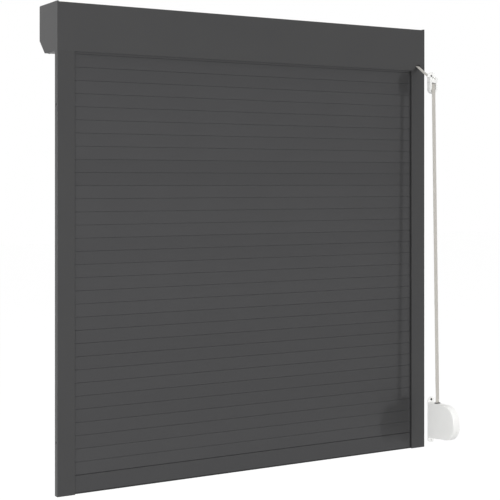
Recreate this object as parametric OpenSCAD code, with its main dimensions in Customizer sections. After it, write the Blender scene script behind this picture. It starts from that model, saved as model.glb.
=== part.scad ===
// Exterior roller shutter: cassette with winding shaft, guide rails, slatted curtain and strap drive.
// The room side faces -Y. The origin is the centre of the cassette's room-side face.

/* [Overall] */
// Width over both end caps
total_w = 1290; // [900:1:1800]

/* [Cassette] */
// Height of the cassette
box_h = 137; // [130:1:165]
// Depth of the cassette
box_d = 137; // [130:1:165]
// Legs of the slanted lower edge on the outdoor side
bevel = 40; // [20:1:48]
// Sheet thickness of the shell and the cover
sheet = 1.2; // [0.8:0.1:2]
// Outer radius of the folds in the sheet
fold_r = 2.4; // [2:0.1:4]
// Thickness of the end cap plate
cap_t = 4; // [3:0.5:6]
// How far the end cap stands proud of the sheet
cap_rim = 2; // [0.5:0.1:3]
// Radius of the screws that hold the sheet
screw_r = 1.9; // [1.5:0.1:2.5]
// Side length of the lugs that take these screws
lug = 10; // [8:0.5:12]

/* [Rails] */
// Width of a guide rail
rail_w = 53; // [48:1:60]
// Depth of a guide rail
rail_d = 20; // [20:0.5:26]
// Wall of a guide rail
rail_wall = 1.6; // [1.2:0.1:2]
// Distance from the rail's room-side face to the slats
setback = 6.5; // [6:0.1:9]
// Play between the slats and the channel on each side
side_play = 0.9; // [0.7:0.1:1]
// Length of slat end inside the rail
engage = 12; // [10:0.5:13]
// Play between the slat ends and the bottom of the channel
end_play = 5; // [4:0.5:6]
// Radius of the reveal screw holes
reveal_hole_r = 3.25; // [2.5:0.25:4]
// Distance of the reveal screw holes from the rail's ends
reveal_hole_end = 150; // [80:5:250]

/* [Curtain] */
// Number of slat pairs below the top slat
slat_pairs = 16; // [10:1:18]
// Height covered by one slat
slat_pitch = 37; // [34:0.5:42]
// Thickness of a slat
slat_t = 8; // [7.5:0.1:8.5]
// Wall of a slat
slat_wall = 1; // [0.8:0.1:1.2]
// Bulge of the outdoor face of a slat
slat_bow = 1; // [0.5:0.1:1.2]
// Rounding of the slat edges beside a seam
slat_edge = 1.5; // [1:0.1:1.8]
// Free height between two slats
seam = 0.4; // [0.3:0.1:0.6]
// Height of the bottom bar with its seal
bar_h = 52.6; // [45:0.1:60]
// Wall of the bottom bar
bar_wall = 1.6; // [1.2:0.1:2]
// Visible height of the bottom seal
seal_h = 4; // [3:0.5:6]
// Distance from the uppermost visible seam to the cassette
top_gap = 6.4; // [4:0.1:9]
// Depth of the stop buffers
stop_d = 14; // [10:0.5:16]
// Height of the stop buffers
stop_h = 16; // [12:1:20]

/* [Winding shaft] */
// Width of the octagonal shaft across its flats
shaft_af = 40; // [36:1:44]
// Wall of the shaft
shaft_wall = 1; // [0.8:0.1:1.5]
// Radius of the bearing pins
pin_r = 6; // [5:0.5:6]
// Outer radius of the ball bearings
bearing_r = 14; // [13.5:0.5:16]
// Width of the ball bearings
bearing_w = 8; // [7:0.5:9]
// Radius of the bearing balls
ball_r = 2.2; // [2:0.1:2.3]
// Core radius of the strap pulley
pulley_r = 45; // [38:1:48]
// Flange radius of the strap pulley
pulley_flange_r = 57; // [54:0.5:60]
// Thickness of the strap wound on the pulley
pulley_turns = 5.5; // [3:0.1:7]
// Width of a curtain hanger
hanger_w = 20; // [12:1:30]

/* [Strap] */
// Width of the strap
strap_w = 14; // [12:0.5:15]
// Thickness of the strap
strap_t = 1.2; // [0.8:0.1:1.6]
// Angle at which the strap drops from the cassette
strap_drop = 33; // [25:1:40]
// Radius of the lip that turns the strap at the cassette
lip_r = 5; // [3:0.5:6]
// Distance from the shutter's room-side face to the indoor wall
wall_gap = 67; // [50:1:100]

/* [Strap guide] */
// Width of the strap guide
guide_w = 30; // [28:0.5:36]
// Height of the strap guide
guide_h = 71; // [66:1:90]
// Distance between the screw holes of the strap guide
guide_pitch = 45; // [44:0.5:60]
// Radius of the screw holes of the strap guide
guide_hole_r = 2.1; // [1.5:0.1:2.5]
// Thickness of the back plates of guide and winder
plate_t = 3; // [2:0.25:4]
// Depth of the cheeks in front of the wall
cheek_d = 16; // [15:0.5:20]
// Radius of the guide roller
roller_r = 8; // [7:0.5:8]
// Distance from the wall to the axle of the guide roller
roller_out = 5; // [4.5:0.5:8]
// Radius of the guide roller's axle
guide_axle_r = 2; // [1.5:0.1:2.5]

/* [Winder] */
// Width of the winder
winder_w = 26.6; // [25:0.2:32]
// Distance from the wall to the winder's front
winder_d = 129.5; // [122:0.5:150]
// Height of the winder's case at the wall
winder_h = 116; // [112:0.5:140]
// Rise of the case's lower edge towards the front
winder_rise = 10; // [0:0.5:20]
// Share of the front's height that the upper rounding takes
round_top = 0.47; // [0.3:0.01:0.55]
// Share of the front's height that the lower rounding takes
round_low = 0.42; // [0.2:0.01:0.44]
// Rounding of the front's upright edges
winder_side_r = 5.5; // [2:0.5:6]
// Wall of the case
case_wall = 2.4; // [2:0.1:3]
// Height of the case's lower edge above the sill
winder_z = 46; // [40:0.5:300]
// Mean distance from the case to the screw holes in the ears
ear_out = 7.5; // [6:0.25:14]
// Radius of the winder's screw holes
winder_hole_r = 2.25; // [1.5:0.05:2.5]
// Distance from a screw hole to the end of its ear
ear_end = 9; // [7:0.5:12]
// Distance from the wall to the strap at the winder's inlet
inlet_out = 34.5; // [30:0.5:36]
// Core radius of the strap spool
spool_r = 24; // [22:0.5:26]
// Flange radius of the strap spool
spool_flange_r = 41; // [36:0.5:42]
// Thickness of the strap left on the spool
spool_turns = 4; // [1:0.1:6]
// Radius of the spool's axle
spool_axle_r = 4; // [3:0.1:4.5]
// Radius of the clamp cam
cam_r = 7; // [5:0.5:7.5]

/* [Hidden] */
// Fits between pieces
fit = 0.3; // gap between pieces that only lie side by side
run = 0.03; // radial play of a running fit
slip = 0.2; // gap around a piece that is pushed in
eps = 1; // overshoot of a cut
$fn = 48;

half_w = total_w / 2;
box_top = box_h / 2;
box_low = -box_h / 2;
curtain_y = setback + slat_t / 2;
rail_l = bar_h + 2 * slat_pairs * slat_pitch + top_gap;
sill_z = box_low - rail_l;
channel = engage + end_play;
slat_half = half_w - rail_w + engage;
cap_in = half_w - cap_t;
mouth_y = rail_d + 2;

// Curtain hooks: the head of one slat hangs in the channel of the next
hook_neck = 1.2;
hook_head = 3.6;
hook_rise = 3.6;
hook_slot = 2;
hook_room = 5.2;
hook_lip = 1.4;
hook_tall = 5;
top_slat_z = box_low - top_gap;
hook_top = top_slat_z + slat_pitch + hook_rise + hook_neck;

// Shaft, bearings and pulley
shaft_y = box_d / 2;
boss_wall = 3;
boss_l = bearing_w + 2.5;
boss_x = cap_in - boss_l;
seat_x = boss_x + bearing_w;
race_r = (pin_r + bearing_r) / 2;
race_play = 0.1;
ring_wall = race_r - pin_r - 0.8 * ball_r;
nose_r = pin_r + ring_wall;
strap_x = half_w - rail_w / 2 - 1;
flange_t = 2;
strap_side = 0.5;
pulley_in = strap_x - strap_w / 2 - strap_side - flange_t;
pulley_out = strap_x + strap_w / 2 + strap_side + flange_t;
capsule_t = 3;
capsule_x = -boss_x + 3.5;
spigot_l = 45;
coil_r = pulley_r + pulley_turns;

// Strap route in the Y-Z plane
strap_half = strap_t / 2;
exit_z = -(coil_r + fit + strap_half);
lip_at = [sheet + lip_r + 0.3, exit_z - lip_r - fit - strap_half];
lip_bend = lip_r + fit + strap_half;
outlet_low = lip_at.y - lip_r - 1;
lip_end = lip_at + lip_bend * [-sin(strap_drop), cos(strap_drop)];
roller_y = -(wall_gap + roller_out);
roller_bend = roller_r + fit + strap_half;
drop_l = (lip_end.x + roller_bend * sin(strap_drop) - roller_y) / cos(strap_drop);
roller_z = lip_end.y - drop_l * sin(strap_drop) - roller_bend * cos(strap_drop);
roller_at = [roller_y, roller_z];
case_low = sill_z + winder_z;
case_top = case_low + winder_h;
inlet_at = [-(wall_gap + inlet_out), case_top];
reach = inlet_at - roller_at;
lean = atan2(reach.y, -reach.x) + acos(roller_bend / norm(reach));
spool_bend = spool_r + spool_turns + fit + strap_half;
spool_z = case_low + winder_h / 2;
roller_off = roller_at + roller_bend * [-cos(lean), sin(lean)];
spool_on_z = spool_z - spool_bend * sin(lean);
spool_on = [roller_off.x - tan(lean) * (roller_off.y - spool_on_z), spool_on_z];
spool_at = spool_on + spool_bend * [-cos(lean), sin(lean)];
strap_path = concat(
    [[shaft_y, exit_z]],
    arc(lip_at, lip_bend, 90, 90 + strap_drop, 8),
    arc(roller_at, roller_bend, 90 + strap_drop, 180 - lean, 12),
    [spool_on]
);

// Strap guide and winder
cheek_t = (guide_w - strap_w) / 2 - 1.2;
cheek_low = guide_h / 2 - 12;
rim_d = roller_out + roller_bend - strap_half - 1.4;
roller_w = strap_w + 1;
hood_in = roller_bend + strap_half + 1.2;
hood_out = hood_in + 2;
hood_drop = 1.5;
window_low = roller_r + 2;
window_top = (roller_bend + strap_half + 0.6 + roller_out * sin(strap_drop)) / cos(strap_drop);
cheek_top = window_top + 3;
flange_mid = case_low + winder_h / 2 + 1;
winder_pitch = winder_h + 2 * ear_out;
front_h = winder_h - winder_rise;
case_y = -(wall_gap + plate_t);
front_y = -(wall_gap + winder_d);
spool_w = strap_w + 1;
spool_flange = 1.5;
cam_at = [inlet_at.x + strap_half + fit + cam_r + 1, inlet_at.y - 18];
cam_pin_r = 2.5;
cam_off = 1;
cam_w = strap_w;
case_screw_r = 1.5;
post_r = 3.5;
case_screws = [
    [case_y - 7, case_low + 9],
    [case_y - 7, case_top - 10],
    [front_y + case_wall + post_r + 1.5, case_low + winder_rise + 0.42 * front_h]
];

pair_names = [for (i = [1:slat_pairs]) str("slat_pair_", i < 10 ? "0" : "", i)];

// Points on an arc around c, and unit vectors
function arc(c, r, from, to, n) = [for (i = [0:n]) let (a = from + (to - from) * i / n) c + r * [cos(a), sin(a)]];
function unit(v) = v / norm(v);

// One corner of an outline, rounded with radius r
function fillet(a, b, c, r, n) =
    let (u = unit(a - b), v = unit(c - b), h = acos(u * v) / 2)
    let (m = b + unit(u + v) * r / sin(h), s = b + u * r / tan(h) - m, e = b + v * r / tan(h) - m)
    let (start = atan2(s.y, s.x), turn = atan2(e.y, e.x) - start)
    arc(m, r, start, start + turn - 360 * round(turn / 360), n);

// A convex outline with rounded corners, and the same outline moved inwards
function rounded(p, r, n = 6) = let (k = len(p)) [
    for (i = [0:k - 1]) each fillet(p[(i + k - 1) % k], p[i], p[(i + 1) % k], r[i], n)
];
function inset(p, d) = let (k = len(p)) [
    for (i = [0:k - 1])
        let (u = unit(p[(i + k - 1) % k] - p[i]), v = unit(p[(i + 1) % k] - p[i]))
        p[i] + unit(u + v) * d / sin(acos(u * v) / 2)
];

// The outline of a band of thickness t along a path
function across(p, i) =
    let (a = unit(p[max(i, 1)] - p[max(i, 1) - 1]), j = min(i + 1, len(p) - 1), b = unit(p[j] - p[j - 1]))
    let (n = [-a.y, a.x], m = unit(n + [-b.y, b.x]))
    m / (m * n);
function band(p, t) = concat(
    [for (i = [0:len(p) - 1]) p[i] + across(p, i) * t / 2],
    [for (i = [len(p) - 1:-1:0]) p[i] - across(p, i) * t / 2]
);

// Extrusions: a Y-Z outline along X, an X-Z outline towards the room, a cylinder along X
module along_x(from, to) {
    translate([from, 0, 0])
        rotate([90, 0, 90])
            linear_extrude(to - from)
                children();
}
module towards_room(from, to) {
    translate([0, from, 0])
        rotate([90, 0, 0])
            linear_extrude(from - to)
                children();
}
module rod_x(from, to, at, r) {
    along_x(from, to)
        translate(at)
            circle(r);
}
module block(x, y, z) {
    translate([x[0], y[0], z[0]])
        cube([x[1] - x[0], y[1] - y[0], z[1] - z[0]]);
}
module upright_rod(at, from, to, r) {
    translate([at.x, at.y, from])
        cylinder(h = to - from, r = r);
}
module mirrored(left) {
    mirror([left ? 1 : 0, 0, 0])
        children();
}

// Cassette: the screws stand in lugs on the end caps
top_screw_y = [25, box_d - 25];
low_screw_y = [mouth_y + 14, box_d - bevel - 12];
screw_x = cap_in - lug / 2;
cap_outline = [
    [0, box_low],
    [box_d - bevel + cap_rim * tan(22.5), box_low],
    [box_d + cap_rim, box_low + bevel - cap_rim * tan(22.5)],
    [box_d + cap_rim, box_top + cap_rim],
    [0, box_top + cap_rim]
];
slot_z = [exit_z - 6, exit_z + 2.5];

module screw_places(y_list) {
    for (x = [-screw_x, screw_x], y = y_list)
        translate([x, y, 0])
            children();
}

module cassette_shell() {
    color("#4b4c4d")
        difference() {
            union() {
                along_x(-cap_in, cap_in)
                    difference() {
                        polygon(concat(
                            [[0, box_low], [box_d - sheet, box_low]],
                            [[box_d - sheet, box_low + bevel], [box_d, box_low + bevel]],
                            arc([box_d - fold_r, box_top - fold_r], fold_r, 0, 90, 6),
                            arc([fold_r, box_top - fold_r], fold_r, 90, 180, 6)
                        ));
                        polygon(concat(
                            [[sheet, box_low - eps], [box_d - sheet, box_low - eps]],
                            arc([box_d - fold_r, box_top - fold_r], fold_r - sheet, 0, 90, 6),
                            arc([fold_r, box_top - fold_r], fold_r - sheet, 90, 180, 6)
                        ));
                    }
                block([-half_w + rail_w + 5, half_w - rail_w - 5], [sheet / 2, setback - 2.5], [box_low, box_low + sheet]);
            }
            block([strap_x - strap_w / 2 - 2, strap_x + strap_w / 2 + 2], [-eps, sheet + eps], slot_z);
            screw_places(top_screw_y)
                upright_rod([0, 0], box_top - sheet - eps, box_top + eps, screw_r + slip);
        }
}

module cassette_cover() {
    half = sheet / 2;
    low = box_low + half;
    corner_y = box_d - bevel - half * tan(22.5);
    tongue_y = box_d - sheet - slip - half;
    color("#4b4c4d")
        difference() {
            along_x(-cap_in, cap_in)
                polygon(band([
                    [mouth_y + half, box_low + 9],
                    [mouth_y + half, low],
                    [corner_y, low],
                    [tongue_y, low + tongue_y - corner_y],
                    [tongue_y, box_low + bevel + 9]
                ], sheet));
            screw_places(low_screw_y)
                upright_rod([0, 0], box_low - eps, box_low + sheet + eps, screw_r + slip);
        }
}

// End cap: plate, bearing boss, screw lugs and a foot that plugs into the guide rail
module end_cap(left) {
    foot_h = outlet_low - fit - box_low;
    foot_y = [rail_wall + 2 * slip + sheet, rail_d - rail_wall - slip];
    foot_x = [half_w - rail_w + channel + rail_wall + slip, half_w - rail_wall - slip];
    mirrored(left)
        color("#4b4c4d")
            difference() {
                union() {
                    along_x(cap_in, half_w)
                        polygon(rounded(cap_outline, [1, 3, 3, 4, 1]));
                    rod_x(boss_x, cap_in + eps, [shaft_y, 0], bearing_r + boss_wall);
                    for (y = top_screw_y)
                        block([cap_in - lug, cap_in + eps], [y - lug / 2, y + lug / 2], [box_top - sheet - lug, box_top - sheet]);
                    for (y = low_screw_y)
                        block([cap_in - lug, cap_in + eps], [y - lug / 2, y + lug / 2], [box_low + sheet, box_low + sheet + lug]);
                    block([foot_x[0], cap_in + eps], foot_y, [box_low, box_low + foot_h]);
                    block(foot_x, foot_y, [box_low - 40, box_low + eps]);
                }
                rod_x(boss_x - eps, seat_x, [shaft_y, 0], bearing_r + run);
                for (y = top_screw_y)
                    upright_rod([screw_x, y], box_top - sheet - lug - eps, box_top, screw_r + run);
                for (y = low_screw_y)
                    upright_rod([screw_x, y], box_low, box_low + sheet + lug + eps, screw_r + run);
            }
}
module left_end_cap() {
    end_cap(true);
}
module right_end_cap() {
    end_cap(false);
}

// Pan-head screws through the sheet into the lugs
module cassette_screws() {
    head_r = 1.9 * screw_r;
    head_h = screw_r;
    color("#3c3d3e") {
        screw_places(top_screw_y) {
            upright_rod([0, 0], box_top - sheet - lug + 1, box_top, screw_r);
            upright_rod([0, 0], box_top, box_top + head_h, head_r);
        }
        screw_places(low_screw_y) {
            upright_rod([0, 0], box_low, box_low + sheet + lug - 1, screw_r);
            upright_rod([0, 0], box_low - head_h, box_low, head_r);
        }
    }
}

// Guide rail: a hollow section with the slat channel, a seal groove and reveal screw holes
seal_at = 3;
seal_w = 3;
seal_depth = 2.5;
chamber_x = [channel + rail_wall, rail_w - rail_wall];
arm_y = setback - side_play;
reveal_hole_z = [sill_z + reveal_hole_end, box_low - reveal_hole_end];

module rail_section() {
    difference() {
        polygon(rounded([[0, 0], [rail_w, 0], [rail_w, rail_d], [0, rail_d]], [1.2, 1.2, 1.2, 0.8], 4));
        translate([-eps, arm_y])
            square([channel + eps, slat_t + 2 * side_play]);
        translate([chamber_x[0], rail_wall])
            square([chamber_x[1] - chamber_x[0], rail_d - 2 * rail_wall]);
        translate([seal_at + seal_w + rail_wall, rail_wall])
            square([channel - seal_at - seal_w - rail_wall, arm_y - 2 * rail_wall]);
        translate([seal_at, arm_y - seal_depth])
            square([seal_w, seal_depth + eps]);
    }
}
module guide_rail(left) {
    mirrored(left)
        color("#4b4c4d")
            difference() {
                translate([half_w - rail_w, 0, sill_z])
                    linear_extrude(rail_l)
                        rail_section();
                for (z = reveal_hole_z) {
                    rod_x(half_w - 2 * rail_wall, half_w + eps, [curtain_y, z], reveal_hole_r);
                    rod_x(half_w - rail_w + channel - eps, half_w - 2 * rail_wall, [curtain_y, z], slat_t / 2);
                }
            }
}
module left_guide_rail() {
    guide_rail(true);
}
module right_guide_rail() {
    guide_rail(false);
}

// Brush seal pushed into the rail's groove
module rail_seal(left) {
    from_x = half_w - rail_w + seal_at + slip;
    mirrored(left)
        color("#1f2021")
            block([from_x, from_x + seal_w - 2 * slip], [arm_y - seal_depth + slip, setback - fit], [sill_z, box_low]);
}
module left_rail_seal() {
    rail_seal(true);
}
module right_rail_seal() {
    rail_seal(false);
}

// Inlet funnel: two flared jaws on the rail's upper end, with a peg in the rail's chamber
module inlet_funnel(left) {
    tall = 28;
    flare = 2.5;
    in_x = half_w - rail_w;
    back_x = in_x + engage + 1;
    jaw_y = [arm_y, arm_y + slat_t + 2 * side_play];
    peg_x = in_x + seal_at + seal_w + rail_wall;
    mirrored(left)
        color("#232425") {
            along_x(in_x, back_x)
                polygon([
                    [sheet + slip, box_low],
                    [jaw_y[0], box_low],
                    [jaw_y[0], box_low + tall / 2],
                    [jaw_y[0] - flare, box_low + tall],
                    [sheet + slip, box_low + tall]
                ]);
            along_x(in_x, back_x)
                polygon([
                    [jaw_y[1], box_low],
                    [mouth_y - slip, box_low],
                    [mouth_y - slip, box_low + 11],
                    [mouth_y + flare, box_low + 11 + flare],
                    [mouth_y + flare, box_low + tall],
                    [jaw_y[1] + flare, box_low + tall],
                    [jaw_y[1], box_low + tall / 2]
                ]);
            block([back_x, back_x + 1], [sheet + slip, mouth_y - slip], [box_low, box_low + tall]);
            block([peg_x + slip, back_x], [rail_wall + slip, arm_y - rail_wall - slip], [box_low - 15, box_low + eps]);
        }
}
module left_inlet_funnel() {
    inlet_funnel(true);
}
module right_inlet_funnel() {
    inlet_funnel(false);
}

// Plug that closes the rail's chamber at the sill
module rail_plug(left) {
    in_x = half_w - rail_w;
    mirrored(left)
        color("#232425")
            block(
                [in_x + chamber_x[0] + slip, in_x + chamber_x[1] - slip],
                [rail_wall + slip, rail_d - rail_wall - slip],
                [sill_z, sill_z + 12]
            );
}
module left_rail_plug() {
    rail_plug(true);
}
module right_rail_plug() {
    rail_plug(false);
}

// Ball bearings in the end caps: a half section turned about the shaft's axis, on each side
module on_both_bearings() {
    for (left = [true, false])
        mirrored(left)
            translate([seat_x - bearing_w / 2, shaft_y, 0])
                rotate([0, 90, 0])
                    children();
}
module race(from_r, to_r) {
    on_both_bearings()
        rotate_extrude()
            difference() {
                translate([from_r, -bearing_w / 2])
                    square([to_r - from_r, bearing_w]);
                translate([race_r, 0])
                    circle(ball_r + race_play);
            }
}
module bearing_outer_rings() {
    color("#b9bcc0")
        race(bearing_r - ring_wall, bearing_r);
}
module bearing_inner_rings() {
    color("#b9bcc0")
        race(pin_r + run, nose_r);
}
module bearing_balls() {
    count = 9;
    cage_t = 0.4 * ball_r;
    color("#d0d2d4")
        on_both_bearings() {
            for (i = [0:count - 1])
                rotate([0, 0, 360 * i / count])
                    translate([race_r, 0, 0])
                        sphere(ball_r);
            difference() {
                rotate_extrude()
                    translate([race_r - cage_t, -0.8 * ball_r])
                        square([2 * cage_t, 1.6 * ball_r]);
                for (i = [0:count - 1])
                    rotate([0, 0, 360 * i / count])
                        translate([race_r, 0, 0])
                            sphere(ball_r + race_play);
            }
        }
}

// Octagonal winding shaft with slots for the hangers
hanger_x = [-0.32 * total_w, 0, 0.32 * total_w];
hanger_t = 0.8;
flat_y = shaft_y - shaft_af / 2;
slot_low = -7;

module octagon(af) {
    rotate(22.5)
        circle(r = af / 2 / cos(22.5), $fn = 8);
}
module octagon_x(from, to, af) {
    along_x(from, to)
        translate([shaft_y, 0])
            octagon(af);
}
module winding_shaft() {
    color("#a9adb1")
        difference() {
            octagon_x(capsule_x + capsule_t, pulley_in, shaft_af);
            octagon_x(capsule_x + capsule_t - eps, pulley_in + eps, shaft_af - 2 * shaft_wall);
            for (x = hanger_x)
                block([x - hanger_w / 2 - 1, x + hanger_w / 2 + 1], [flat_y - eps, flat_y + shaft_wall + eps], [slot_low, slot_low + 5]);
        }
}
module end_capsule() {
    color("#2e2f31")
        difference() {
            union() {
                rod_x(-boss_x, capsule_x + eps, [shaft_y, 0], nose_r);
                rod_x(capsule_x, capsule_x + capsule_t, [shaft_y, 0], shaft_af / 2 + 4);
                octagon_x(capsule_x + capsule_t - eps, capsule_x + capsule_t + spigot_l, shaft_af - 2 * shaft_wall - 2 * slip);
            }
            rod_x(-boss_x - eps, capsule_x + capsule_t + spigot_l + eps, [shaft_y, 0], pin_r + run);
        }
}
module capsule_pin() {
    color("#c3c6c9")
        rod_x(-seat_x + 0.5, capsule_x + capsule_t + spigot_l, [shaft_y, 0], pin_r);
}
module strap_pulley() {
    color("#2e2f31")
        difference() {
            union() {
                octagon_x(pulley_in - spigot_l, pulley_in + eps, shaft_af - 2 * shaft_wall - 2 * slip);
                rod_x(pulley_in, pulley_in + flange_t, [shaft_y, 0], pulley_flange_r);
                rod_x(pulley_in, pulley_out, [shaft_y, 0], pulley_r);
                rod_x(pulley_out - flange_t, pulley_out, [shaft_y, 0], pulley_flange_r);
                rod_x(pulley_out - eps, boss_x, [shaft_y, 0], nose_r);
            }
            rod_x(pulley_in - spigot_l - eps, boss_x + eps, [shaft_y, 0], pin_r + run);
            difference() {
                rod_x(pulley_in + 3, pulley_out + eps, [shaft_y, 0], pulley_r - 3);
                rod_x(pulley_in, pulley_out + eps, [shaft_y, 0], shaft_af / 2 + 2);
            }
        }
}
module pulley_pin() {
    color("#c3c6c9")
        rod_x(pulley_in - spigot_l, seat_x - 0.5, [shaft_y, 0], pin_r);
}
module pulley_strap_coil() {
    color("#b9b6ae")
        difference() {
            rod_x(strap_x - strap_w / 2, strap_x + strap_w / 2, [shaft_y, 0], coil_r);
            rod_x(strap_x - strap_w / 2 - eps, strap_x + strap_w / 2 + eps, [shaft_y, 0], pulley_r + slip);
        }
}

// Spring-steel hangers from the shaft's slots to the hook of the top slat
module curtain_hangers() {
    grip = hook_head / 2 + fit + hanger_t / 2;
    above = hook_top + fit + hanger_t / 2;
    side_y = flat_y - fit - hanger_t / 2;
    path = [
        [curtain_y + grip, above - 3.6],
        [curtain_y + grip, above],
        [curtain_y, above + 0.4],
        [curtain_y + 1, above + 12],
        [curtain_y + 0.2 * (side_y - curtain_y), 0.1 * above],
        [curtain_y + 0.55 * (side_y - curtain_y), 9],
        [side_y - 4, 13],
        [side_y, 9],
        [side_y, slot_low + 3],
        [side_y + 3.4, slot_low + 1.8]
    ];
    color("#9a9da0")
        for (x = hanger_x)
            along_x(x - hanger_w / 2, x + hanger_w / 2)
                polygon(band(path, hanger_t));
}

// One hollow slat: hook at the top, hook channel at the bottom
module hook(z) {
    translate([-hook_neck / 2, z - eps])
        square([hook_neck, hook_rise + eps + hook_neck / 2]);
    translate([-hook_head / 2, z + hook_rise])
        square([hook_head, hook_neck]);
}
module slat_section() {
    low = seam / 2;
    high = slat_pitch - seam / 2;
    room = -slat_t / 2;
    out = slat_t / 2;
    floor_z = hook_lip + hook_tall + slat_wall;
    difference() {
        union() {
            polygon(rounded(
                [[room, low], [out - slat_bow, low], [out, 0.3 * high], [out, 0.7 * high], [out - slat_bow, high], [room, high]],
                [slat_edge, slat_edge, 20, 20, slat_edge, slat_edge], 4
            ));
            hook(slat_pitch);
        }
        translate([-hook_slot / 2, low - eps])
            square([hook_slot, hook_lip + eps]);
        translate([-hook_room / 2, hook_lip])
            square([hook_room, hook_tall]);
        translate([room + slat_wall, floor_z])
            square([slat_t - slat_bow - 2 * slat_wall, high - slat_wall - floor_z]);
    }
}
module slats(z_list) {
    color("#4e4f50")
        for (z = z_list)
            along_x(-slat_half, slat_half)
                translate([curtain_y, z])
                    slat_section();
}
module top_slat() {
    slats([top_slat_z]);
}
module slat_pair(i) {
    low = sill_z + bar_h + 2 * slat_pitch * (i - 1);
    slats([low, low + slat_pitch]);
}

// Bottom bar: a hollow section with the same hook and a groove for the seal
groove_in = 4.8;
groove_mouth = 2.4;
groove_h = 3;

module bottom_bar() {
    low = seal_h;
    high = bar_h - seam / 2;
    room = -slat_t / 2;
    out = slat_t / 2;
    chamber_low = low + 2 * bar_wall + groove_h;
    web_z = (chamber_low + high) / 2;
    color("#474849")
        along_x(-slat_half, slat_half)
            translate([curtain_y, sill_z])
                difference() {
                    union() {
                        polygon(rounded([[room, low], [out, low], [out, high], [room, high]], [1, 1, 2, 2], 4));
                        hook(bar_h);
                    }
                    translate([-groove_mouth / 2, low - eps])
                        square([groove_mouth, bar_wall + 2 * eps]);
                    translate([-groove_in / 2, low + bar_wall])
                        square([groove_in, groove_h]);
                    translate([room + bar_wall, chamber_low])
                        square([slat_t - 2 * bar_wall, web_z - bar_wall / 2 - chamber_low]);
                    translate([room + bar_wall, web_z + bar_wall / 2])
                        square([slat_t - 2 * bar_wall, high - bar_wall - web_z - bar_wall / 2]);
                }
}
module bottom_seal() {
    stem = groove_mouth - 2 * slip;
    head = groove_in - 2 * slip;
    color("#17181a")
        along_x(-slat_half, slat_half)
            translate([curtain_y, sill_z]) {
                translate([-slat_t / 2 + 0.5, 0])
                    square([slat_t - 1, seal_h]);
                translate([-stem / 2, seal_h - eps])
                    square([stem, bar_wall + slip + 2 * eps]);
                translate([-head / 2, seal_h + bar_wall + slip])
                    square([head, groove_h - 2 * slip]);
            }
}

// Stop buffers on the outdoor face of the bar: they meet the cover when the curtain is up
stop_x = half_w - rail_w - 60;
stop_w = 24;
stop_z = sill_z + seal_h + 2;
bar_out_y = curtain_y + slat_t / 2;
stop_screw_r = 2;

module bar_stops() {
    color("#232425")
        for (x = [-stop_x, stop_x])
            difference() {
                block([x - stop_w / 2, x + stop_w / 2], [bar_out_y, bar_out_y + stop_d], [stop_z, stop_z + stop_h]);
                translate([x, bar_out_y - eps, stop_z + stop_h / 2])
                    rotate([-90, 0, 0])
                        cylinder(h = stop_d + 2 * eps, r = stop_screw_r + run);
                translate([x, bar_out_y + stop_d - 3, stop_z + stop_h / 2])
                    rotate([-90, 0, 0])
                        cylinder(h = 3 + eps, r = 2 * stop_screw_r + slip);
            }
}
module stop_screws() {
    color("#a9adb1")
        for (x = [-stop_x, stop_x])
            translate([x, bar_out_y, stop_z + stop_h / 2])
                rotate([-90, 0, 0]) {
                    cylinder(h = stop_d - 3 + eps, r = stop_screw_r);
                    translate([0, 0, stop_d - 3])
                        cylinder(h = 2, r = 2 * stop_screw_r);
                }
}

// Strap outlet behind the cassette's room face, with a rounded lip under the strap
module strap_outlet() {
    wide = strap_w / 2 + 4;
    gap = strap_w / 2 + strap_side;
    back_y = lip_at.x + lip_r + 1;
    color("#232425") {
        difference() {
            block([strap_x - wide, strap_x + wide], [sheet, back_y], [outlet_low, exit_z + 6]);
            block([strap_x - gap, strap_x + gap], [-eps, back_y + eps], [lip_at.y, exit_z + 2.5]);
        }
        rod_x(strap_x - wide, strap_x + wide, lip_at, lip_r);
    }
}

// Strap: one flat band from the pulley over lip and roller down to the spool
module strap() {
    color("#bab6ae")
        along_x(strap_x - strap_w / 2, strap_x + strap_w / 2)
            polygon(band(strap_path, strap_t));
}

// Strap guide: back plate with window, cheeks, a rim round the lower end, hood and roller
module oblong(w, h) {
    square([w, h - w], center = true);
    for (side = [-1, 1])
        translate([0, side * (h - w) / 2])
            circle(w / 2);
}
module guide_base() {
    color("#f0f0ee")
        translate([strap_x, 0, roller_z])
            difference() {
                union() {
                    towards_room(-wall_gap, -wall_gap - plate_t)
                        difference() {
                            oblong(guide_w, guide_h);
                            for (side = [-1, 1])
                                translate([0, side * guide_pitch / 2])
                                    circle(guide_hole_r);
                            translate([-roller_w / 2 - 1, -window_low])
                                square([roller_w + 2, window_low + window_top]);
                        }
                    towards_room(-wall_gap - plate_t / 2, -wall_gap - cheek_d)
                        intersection() {
                            oblong(guide_w, guide_h);
                            for (side = [-1, 1])
                                translate([side * (guide_w - cheek_t) / 2, (cheek_top - cheek_low) / 2])
                                    square([cheek_t, cheek_top + cheek_low], center = true);
                        }
                    towards_room(-wall_gap - plate_t / 2, -wall_gap - rim_d)
                        difference() {
                            oblong(guide_w, guide_h);
                            oblong(guide_w - 2 * cheek_t, guide_h - 2 * cheek_t);
                            translate([-guide_w, -window_low])
                                square([2 * guide_w, guide_h]);
                        }
                }
                rod_x(-guide_w, guide_w, [roller_y, 0], guide_axle_r + run);
            }
}
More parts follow.
